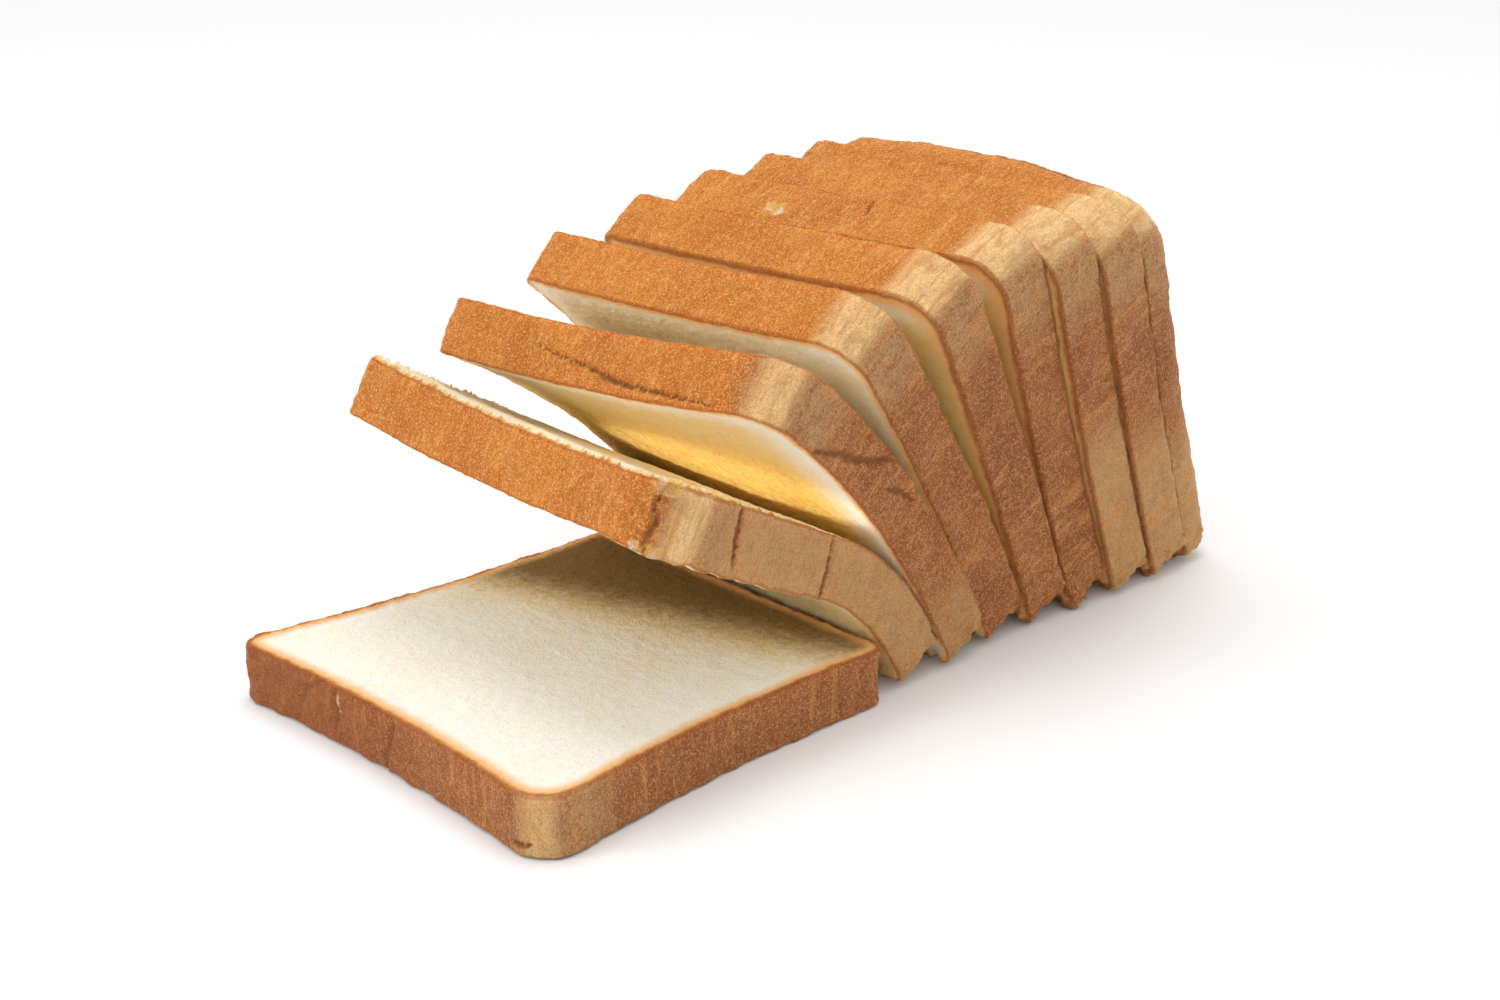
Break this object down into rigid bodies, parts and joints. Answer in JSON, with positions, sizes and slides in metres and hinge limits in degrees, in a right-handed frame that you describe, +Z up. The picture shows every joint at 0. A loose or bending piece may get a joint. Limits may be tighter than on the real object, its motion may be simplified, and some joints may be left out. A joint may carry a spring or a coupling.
{
  "type": "tin loaf",
  "caption": "Sliced square tin loaf fanned open: one slice lies flat, the others lean after it, and the heel stands at the back.",
  "frame": {"origin": "on the resting surface, under the middle of the loaf's bounding box", "axes": "+Z up, +Y along the loaf from the fallen slice to the heel, +X across the slices"},
  "size_m": [0.1226, 0.262, 0.1132],
  "materials": {
    "cut_bread": "soft matt crumb with a golden brown crust band round its edge",
    "crust": "matt golden brown crust with fine pale flecks"
  },
  "bodies": {
    "root": {"slice_1": "cut_bread", "slice_2": "cut_bread", "slice_3": "cut_bread", "slice_4": "cut_bread", "slice_5": "cut_bread", "slice_6": "cut_bread", "slice_7": "cut_bread", "slice_8": "cut_bread", "heel": "crust"}
  },
  "joints": []
}
